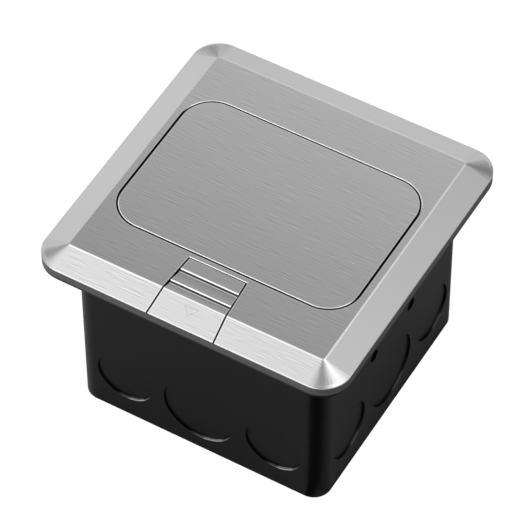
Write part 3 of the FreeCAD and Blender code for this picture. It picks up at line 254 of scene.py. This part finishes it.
def lid_edge(finish, x, y, wider):
    """Distance in mm from the lid's outline, a rounded rectangle made wider by a gap, negative
    inside, and how far the edge there looks to -Y, from -1 to 1."""
    corner = LID_CORNER + wider
    past_x = finish.size(x) - (LID_SIZE.x + wider - corner)
    past_y = finish.size(y) - (LID_SIZE.y + wider - corner)
    near_x = finish.most(past_x, 0.0)
    near_y = finish.most(past_y, 0.0)
    reach = (near_x * near_x + near_y * near_y) ** 0.5
    inside = finish.least(finish.most(past_x, past_y), 0.0)
    return reach + inside - corner, near_y / (reach + 0.001) * finish.math("SIGN", y) * -1.0


def past_button(finish, x, y):
    """Distance in mm outwards from the button's sides, which flare towards the plate's edge."""
    return finish.size(x) - (0.0 - y) * BUTTON_FLARE - BUTTON_HALF


def plate_marks(finish, x, y):
    """The rims of the lid's opening and of the button's slot: painted highlights on the sides that look
    forward, and painted shade with a faint painted highlight beyond it on the others."""
    away, forward = lid_edge(finish, x, y, LID_GAP)
    looks_front = finish.step(forward * -1.0, 0.05, 0.5)
    looks_back = 1.0 - looks_front
    rim_front = finish.band(away, -0.1, 0.36) * looks_front
    rim_back = finish.band(away, 0.30, 0.60) * looks_back * 0.35
    shadow_back = finish.band(away, -0.1, 0.32) * looks_back
    # The button's slot: a painted highlight at its end and along its sides, painted shade next to the button.
    slot_end = finish.band(y - BUTTON_END, 0.32, 0.72) * finish.step(finish.size(x), 11.7, 11.5)
    off = past_button(finish, x, y)
    beside_slot = finish.step(y - BUTTON_END, 0.44, 0.24)
    slot_rim = finish.band(off, 0.62, 0.86) * beside_slot * 0.4
    slot_shadow = finish.band(off, 0.2, 0.50) * beside_slot * 0.9
    bright = finish.most(rim_front, rim_back, slot_end, slot_rim)
    no_groove = 0.0
    return bright, finish.most(shadow_back, slot_shadow), no_groove


wear(satin_steel("steel_cover_plate", plate_marks), "cover_plate")

# ---- lid ----
# The same steel sheet, cut out of the middle of the plate and brushed with it, so that the grain
# runs on across the gap. A moulded tray is fixed behind it and stiffens it.


def lid_marks(finish, x, y):
    """The lid's rim: a painted highlight at the front, where it looks forward, and painted shade at the
    sides and the back.
    """
    away, forward = lid_edge(finish, x, y, 0.0)
    looks_front = finish.step(forward, 0.05, 0.5)
    looks_back = 1.0 - looks_front
    rim_front = finish.band(away, -0.36, 0.1) * looks_front
    rim_back = finish.band(away, -0.56, -0.26) * looks_back * 0.35
    no_groove = 0.0
    return finish.most(rim_front, rim_back), finish.band(away, -0.24, 0.1) * looks_back, no_groove


wear(satin_steel("steel_lid", lid_marks), "lid_panel")

# ---- latch button ----
# A tongue of the same steel, folded over the bevel, with two finger grips pressed across it. It is
# screwed to a moulded slider below the plate.
GRIPS_START, GRIPS_LENGTH, GRIP_PITCH = 40.0, 10.3, 5.9
GRIP_DEPTH = 0.9
ARROW = ((-2.3, -52.7), (3.0, -52.6), (0.3, -55.4))


def from_line(finish, x, y, start, end):
    """Distance from a straight line between two points: from the point to the nearest one on it."""
    length = math.dist(start, end)
    way_x, way_y = (end[0] - start[0]) / length, (end[1] - start[1]) / length
    share = finish.most(finish.least((x - start[0]) * way_x + (y - start[1]) * way_y, length), 0.0)
    off_x = x - start[0] - share * way_x
    off_y = y - start[1] - share * way_y
    return (off_x * off_x + off_y * off_y) ** 0.5


def button_marks(finish, x, y):
    """Two finger grips: each is a rounded step with a painted highlight above and painted shade in its
    foot, and painted shade on the ramp after it. The button's sides get a painted highlight just inside
    and painted shade at the edge. A small engraved triangle on the bevel points outwards."""
    along = 0.0 - y - GRIPS_START
    run = along - finish.math("FLOOR", along * (1.0 / GRIP_PITCH)) * GRIP_PITCH
    grips = finish.band(along, 0.0, GRIPS_LENGTH)
    grip_top = finish.most(finish.band(run, -0.1, 0.36), finish.band(run, 1.04, 1.34) * 0.8) * grips
    grip_foot = finish.band(run, 0.34, 0.96) * 0.93
    grip_ramp = finish.band(run, 1.4, 5.7, 0.1) * (finish.step(run, 6.2, 1.0) * 0.22 + 0.04)
    nearest = from_line(finish, x, y, ARROW[0], ARROW[1])
    nearest = finish.least(from_line(finish, x, y, ARROW[1], ARROW[2]), nearest)
    nearest = finish.least(from_line(finish, x, y, ARROW[2], ARROW[0]), nearest)
    engraved = finish.step(nearest, 0.22, 0.06) * 0.20
    off = past_button(finish, x, y)
    # The button's sides: a painted highlight just inside, painted shade at the edge.
    side_rim = finish.band(off, -0.50, -0.26) * 0.35
    side_shadow = finish.step(off, -0.14, -0.04)
    dark = finish.most(finish.most(grip_foot, grip_ramp) * grips, engraved, side_shadow)
    return finish.most(grip_top, side_rim), dark, GRIP_DEPTH


wear(satin_steel("steel_button", button_marks), "latch_button")

# ---- under frame ----
# A zinc casting, painted dark grey, that carries the plate and shows as a band under its rim. Painted
# shade gives it a black line along its foot, and its left and right faces are painted darker as shade.
FOOT_LINE = corner_in_mm("floor_gasket").z + 0.75
BAND_SIDE = corner_in_mm("under_frame").x - 1.0


def grain(finish, x, y, z, rate):
    """A fine grain of the given periods to the millimetre, a wide cloud, and the tone that both make."""
    fine = finish.noise(x * rate, y * rate, z * rate, 2.0, 0.6)
    cloud = finish.noise(x * 0.03, y * 0.03, z * 0.03, 2.0, 0.5)
    tone = (fine - 0.5) * 0.3 + (cloud - 0.5) * 0.5 + 0.5
    return fine, cloud, finish.step(tone, 0.2, 0.8)


def painted(name, colour, roughness, period, depth, level=0.3, foot=None):
    """Paint or moulded plastic: an even colour with a fine grain of the given period in millimetres.
    Below the height foot, where it is given, painted shade blacks the paint, and the band's left and
    right faces are painted darker as painted shade."""
    finish = Finish(name)
    x, y, z = finish.place()
    fine, cloud, tone = grain(finish, x, y, z, 1.0 / period)
    low = tuple(part * 0.86 for part in colour) + (1.0,)
    high = tuple(part * 1.12 for part in colour) + (1.0,)
    body = finish.blend(tone, low, high)
    if foot is not None:
        # Painted shade: black below the foot line, and darker on the band's left and right faces.
        body = finish.blend(finish.step(z, foot + 0.05, foot - 0.05), body, grey(0.002))
        beside = finish.step(finish.size(x), BAND_SIDE - 0.2, BAND_SIDE + 0.2)
        body = finish.blend(beside * 0.4, body, grey(0.012))
    rough = (fine - 0.5) * 0.10 + (cloud - 0.5) * 0.06 + roughness
    return finish.close({"Base Color": body, "Roughness": rough, "Normal": finish.bump(fine, 0.25, depth),
                         "Specular IOR Level": level})


wear(painted("paint_frame_grey", (0.078, 0.078, 0.079), 0.42, 0.5, 0.00001, foot=FOOT_LINE), "under_frame")

# ---- floor gasket and lid buffers ----
# Black rubber: a thin flat seal that lies between the band and the floor, and two stops that the
# front of the lid closes on.
wear(painted("rubber_black", (0.008, 0.008, 0.008), 0.75, 0.35, 0.00002), "floor_gasket", "lid_buffers")

# ---- back box ----
# Drawn sheet steel with a satin black powder coat, and round knockouts half sheared in its walls.
# Each knockout's shear line carries a painted glint of white metal, low on its right side.
KNOCKOUT_HEIGHT = 20.3
KNOCKOUTS = ((-30.3, 11.2), (0.0, 14.2), (30.3, 11.2))    # place along the wall, and radius
GLINT_ALONG, GLINT_DOWN = 0.42, 0.90    # the way from a knockout's centre to its painted glint
WALL_FLAT_HALF = 43.0


def coated_box(name):
    """Satin black powder coat, finely grained. The shear line of each knockout, three on each wall,
    gets a painted glint low on its right side, least on the side walls."""
    finish = Finish(name)
    x, y, z = finish.place()
    side_wall = finish.step(finish.size(x) - finish.size(y), -0.5, 0.5)
    along = y * side_wall + x * (1.0 - side_wall)
    up = z - KNOCKOUT_HEIGHT
    lines = []
    for centre, radius in KNOCKOUTS:
        off = along - centre
        away = (off * off + up * up) ** 0.5
        line = finish.band(away - radius, -0.02, 0.30)
        # The painted glint: white metal on the shear line, low on its right side.
        lower = (off * GLINT_ALONG - up * GLINT_DOWN) / radius
        lines.append(line * (finish.step(lower, 0.94, 0.98) * 0.8 + finish.step(lower, 0.72, 0.97) * 0.2))
    wall = finish.step(finish.least(finish.size(x), finish.size(y)), WALL_FLAT_HALF + 0.5, WALL_FLAT_HALF)
    # Painted glints only on the flat stretches of wall, weaker on the side walls.
    glint = finish.least(finish.most(*lines) * wall * (1.0 - side_wall * 0.85), 1.0)
    fine, cloud, tone = grain(finish, x, y, z, 2.2)
    coat = finish.blend(tone, grey(0.0026), grey(0.0034))
    rough = (fine - 0.5) * 0.10 + (cloud - 0.5) * 0.06 + 0.34
    return finish.close({"Base Color": finish.blend(glint, coat, grey(1.0)), "Metallic": glint,
                         "Roughness": rough, "Normal": finish.bump(fine, 0.25, 0.00001),
                         "Specular IOR Level": 0.10})


wear(coated_box("powder_coat_black"), "back_box")

# ---- plated and brass pieces ----
# Hinge cradle, lug brackets, pins and screws are steel with a bright zinc plating, a little cloudy.
# The contacts, the earth screw with its clamp, and the hinge bushes are turned or cut from brass.


def plated(name, colour, roughness):
    """Bare or plated metal, with a cloudy tone and fine scratches."""
    finish = Finish(name)
    x, y, z = finish.place()
    cloud = finish.noise(x * 0.25, y * 0.25, z * 0.25, 3.0, 0.6)
    scratch = finish.noise(x * 2.0, y * 0.5, z * 2.0, 3.0, 0.6)
    low = tuple(part * 0.75 for part in colour) + (1.0,)
    body = finish.blend(finish.step(cloud * 0.6 + scratch * 0.4, 0.3, 0.7), low, colour + (1.0,))
    return finish.close({"Base Color": body, "Metallic": 1.0, "Roughness": (cloud - 0.5) * 0.2 + roughness,
                         "Normal": finish.bump(scratch, 0.1, 0.00002)})


wear(plated("zinc_plate", (0.60, 0.62, 0.64), 0.34), "hinge_cradle", "lug_brackets", "fixing_screws",
     "cradle_screws", "hinge_pins", "lid_screws", "damper_screws", "slider_screws", "insert_screws",
     "terminal_screws")
wear(plated("brass_bright", (0.78, 0.56, 0.24), 0.28), "earth_screw", "earth_clamp", "hinge_bushes",
     "live_contact", "neutral_contact", "earth_contact", "jack_contacts")

# ---- moulded pieces ----
# Glass-filled nylon in black for what carries the sockets, natural nylon for the gears, and white
# and grey polycarbonate for the inserts and their shutters.
wear(painted("nylon_black", (0.014, 0.014, 0.015), 0.5, 0.3, 0.00001, 0.4), "lid_frame", "socket_carrier",
     "latch_slider", "damper_housing", "insert_frame", "data_jack")
wear(painted("nylon_natural", (0.62, 0.59, 0.50), 0.45, 0.4, 0.00001, 0.4), "gear_sector", "damper_pinion")
wear(painted("plastic_white", (0.68, 0.68, 0.65), 0.3, 0.5, 0.00001, 0.5), "outlet_housing", "outlet_base",
     "data_housing")
wear(painted("plastic_grey", (0.17, 0.175, 0.18), 0.35, 0.5, 0.00001, 0.5), "blade_shutter", "dust_shutter")

# ---- springs ----
# Round spring wire: a coil spring in the latch slider, a small one beside the blade shutter, and a
# torsion spring on the left hinge pin that lifts the lid.


def winding(rings, turns, radius, start=0.0):
    """The share of the way along a coil at each ring, from 0 to 1, and the two parts of a circle of
    that radius, run round so many turns from the start angle."""
    share = np.linspace(0, 1, rings)
    angle = start + share * 2 * np.pi * turns
    return share, radius * np.cos(angle), radius * np.sin(angle)


def wire(name, path, radius, sides=10):
    """A round bar along a path of points: each ring lies square to the path's tangent, in a frame
    built from the tangent and a fixed side direction, and both ends are closed."""
    tangent = np.gradient(path, axis=0)
    tangent /= np.linalg.norm(tangent, axis=1, keepdims=True)
    side = np.cross(tangent, (0.31, 0.17, 0.93))
    side /= np.linalg.norm(side, axis=1, keepdims=True)
    other = np.cross(tangent, side)
    turn = np.linspace(0, 2 * np.pi, sides, endpoint=False)[None, :, None]
    rings = path[:, None] + radius * (side[:, None] * np.cos(turn) + other[:, None] * np.sin(turn))
    count = len(path)
    first = np.arange(count - 1)[:, None] * sides
    here = first + np.arange(sides)[None, :]
    beside = first + (np.arange(sides) + 1)[None, :] % sides
    faces = np.stack([here, beside, beside + sides, here + sides], axis=-1).reshape(-1, 4).tolist()
    faces += [list(range(sides))[::-1], list(range((count - 1) * sides, count * sides))]
    mesh = bpy.data.meshes.new(name)
    mesh.from_pydata(rings.reshape(-1, 3).tolist(), [], faces)
    mesh.validate()
    mesh.shade_smooth()
    piece = bpy.data.objects.new(name, mesh)
    bpy.context.scene.collection.objects.link(piece)
    return piece


spring_wire = plated("spring_wire", (0.42, 0.42, 0.43), 0.3)


def fit_spring(piece, body, replaced):
    """Puts a coil in the place of the closed sleeve that stands for it."""
    piece.data.materials.append(spring_wire)
    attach(piece, body)
    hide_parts(replaced)


LATCH_WIRE, LATCH_END = 0.00025, 0.0003
low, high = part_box("latch_spring")
middle, length = (low + high) / 2, high.y - low.y
share, circle_x, circle_z = winding(220, 8, (high.x - low.x) / 2 - LATCH_WIRE)
path = np.stack([middle.x + circle_x, low.y + LATCH_END + share * (length - 2 * LATCH_END),
                 middle.z + circle_z], axis=1)
latch_coil = wire("latch_coil", path, LATCH_WIRE)
fit_spring(latch_coil, "housing", "latch_spring")
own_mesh(latch_coil)

SHUTTER_WIRE = 0.0002
low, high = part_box("shutter_spring")
middle, length = (low + high) / 2, high.x - low.x
share, circle_y, circle_z = winding(220, 7, 0.0008)
path = np.stack([low.x + SHUTTER_WIRE + share * (length - 2 * SHUTTER_WIRE), middle.y + circle_y,
                 middle.z + circle_z], axis=1)
shutter_coil = wire("shutter_coil", path, SHUTTER_WIRE)
fit_spring(shutter_coil, "lid", "shutter_spring")
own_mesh(shutter_coil)

TORSION_WIRE, TORSION_RADIUS, TORSION_LEG = 0.0004, 0.002, 0.0136
low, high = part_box("torsion_spring")
pins_low, pins_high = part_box("hinge_pins")
hinge = (pins_low + pins_high) / 2
share, circle_y, circle_z = winding(160, -3, TORSION_RADIUS, -np.pi / 2)
coil = np.stack([high.x - TORSION_WIRE - share * (high.x - low.x - 2 * TORSION_WIRE), hinge.y + circle_y,
                 hinge.z + circle_z], axis=1)
LEG_RINGS = 24
leg = np.stack([np.full(LEG_RINGS, coil[0, 0]), np.linspace(hinge.y - TORSION_LEG, hinge.y, LEG_RINGS),
                np.full(LEG_RINGS, hinge.z - TORSION_RADIUS)], axis=1)
fit_spring(wire("torsion_coil", np.concatenate([leg[:-1], coil]), TORSION_WIRE), "housing", "torsion_spring")

# ---- camera ----
# A long lens from the front right, well above the plate, turned a third of a degree.
azimuth, elevation, roll = math.radians(30.45), math.radians(50.654), math.radians(-0.34)
target, distance = Vector((0.000270, -0.006226, 0.057911)), 1.27553
right = Vector((math.cos(azimuth), math.sin(azimuth), 0.0))
level_back = Vector((math.sin(azimuth), -math.cos(azimuth), 0.0))
back = level_back * math.cos(elevation) + Vector((0.0, 0.0, math.sin(elevation)))
up = right.cross(-back)
across = right * math.cos(roll) + up * math.sin(roll)
upright = up * math.cos(roll) - right * math.sin(roll)
eye = target + back * distance
camera = bpy.data.objects.new("camera", bpy.data.cameras.new("camera"))
bpy.context.scene.collection.objects.link(camera)
camera.data.sensor_width = 36.0
camera.data.lens = 251.95
camera.data.clip_end = 20.0
camera.matrix_world = Matrix(((across.x, upright.x, back.x, eye.x), (across.y, upright.y, back.y, eye.y),
                              (across.z, upright.z, back.z, eye.z), (0, 0, 0, 1)))
bpy.context.scene.camera = camera

# ---- floor and studio ----
# A white table in an evenly lit room. Soft panels and black flags stand in a ring round the part of
# the room that the flat mirrors, so the bevels and turned corners get their streaks from them.
ROOM = 0.65
PANELS = (    # turn round the ring in degrees from the front bevel, reach to each side, light added
    (356, 32, 0.97),
    (24, 20, -0.45),
    (60, 27, 1.8),
    (81, 13, 0.5),
    (114, 18, -0.52),
    (148, 30, 0.33),
    (180, 15, 0.38),
    (211, 20, 0.22),
    (269, 12, 0.62),
    (293, 16, 0.45),
    (330, 20, 0.2),
)
world = bpy.data.worlds.new("studio")
world.use_nodes = True
bpy.context.scene.world = world
sky = Finish("studio", world.node_tree)
direction = sky.node("ShaderNodeTexCoord", output=0)
halfway = sky.node("ShaderNodeVectorMath", {"operation": "ADD"}, {0: direction, 1: tuple(back)})
lean_x, lean_y, lean_z = sky.split(sky.node("ShaderNodeVectorMath", {"operation": "NORMALIZE"}, {0: halfway}))
tilt = sky.math("ARCCOSINE", lean_z) * (180.0 / math.pi)
turn = sky.math("FRACT", sky.math("ARCTAN2", lean_y, lean_x) * (0.5 / math.pi) + 0.25)
ring = ROOM
for angle, reach, light in PANELS:
    away = sky.size(turn - angle / 360.0)
    ring = sky.step(sky.least(away, 1.0 - away), reach / 360.0, 0.0) * light + ring
flat_panel = lean_y * 0.6 + 0.555
inner = sky.step(tilt, 7.0, 13.0)
outer = sky.step(tilt, 27.0, 36.0)
strength = flat_panel * (1.0 - inner) + ring * inner
strength = strength * (1.0 - outer) + outer * 0.68
front_key = (sky.step(0.0 - lean_y, 0.42, 0.56) * sky.step(sky.size(lean_x), 0.26, 0.12)
             * sky.step(lean_z, 0.3, 0.5))
seen_by_camera = sky.node("ShaderNodeLightPath", output=0)
strength = sky.node("ShaderNodeMix", {"data_type": "FLOAT"},
                    {0: seen_by_camera, 2: strength + front_key * 0.75, 3: 1.0})
lit_room = sky.node("ShaderNodeBackground", sockets={"Color": grey(1.0), "Strength": strength})
sky.node("ShaderNodeOutputWorld", sockets={"Surface": lit_room})


def sheet(name, low, high, height):
    """A flat rectangle between two corners (x, y) at a height, facing up."""
    mesh = bpy.data.meshes.new(name)
    mesh.from_pydata([(low[0], low[1], height), (high[0], low[1], height), (high[0], high[1], height),
                      (low[0], high[1], height)], [], [(0, 1, 2, 3)])
    made = bpy.data.objects.new(name, mesh)
    bpy.context.scene.collection.objects.link(made)
    return made


# The table lies a hair below the box, so that the two never share a plane. The camera sees it white,
# with one part in a hundred of its shading.
floor = sheet("floor", (-3.0, -3.0), (3.0, 3.0), -0.0003)
table = Finish("table_white")
seen_by_camera = table.node("ShaderNodeLightPath", output=0)
plain = table.node("ShaderNodeBsdfDiffuse", sockets={"Color": grey(0.8)})
glow = table.node("ShaderNodeEmission", sockets={"Color": grey(1.0), "Strength": 1.02})
shaded_or_white = table.node("ShaderNodeMixShader", sockets={0: seen_by_camera * 0.99, 1: plain, 2: glow})
floor.data.materials.append(table.end(shaded_or_white))

# Two dark cards lie on the table at the right, out of the camera's sight: they give the black box a
# dark corner and keep its right wall from looking grey.
for name, low, high, shade in (("dark_card_front", (0.0430, -0.15), (0.45, -0.0502), 0.03),
                               ("dark_card_side", (0.0502, -0.0502), (0.45, 0.40), 0.40)):
    card = sheet(name, low, high, 0.0001)
    card.visible_camera = False
    card.data.materials.append(Finish(name).close({"Base Color": grey(shade), "Roughness": 0.9}))

bpy.context.scene.view_settings.view_transform = "Standard"
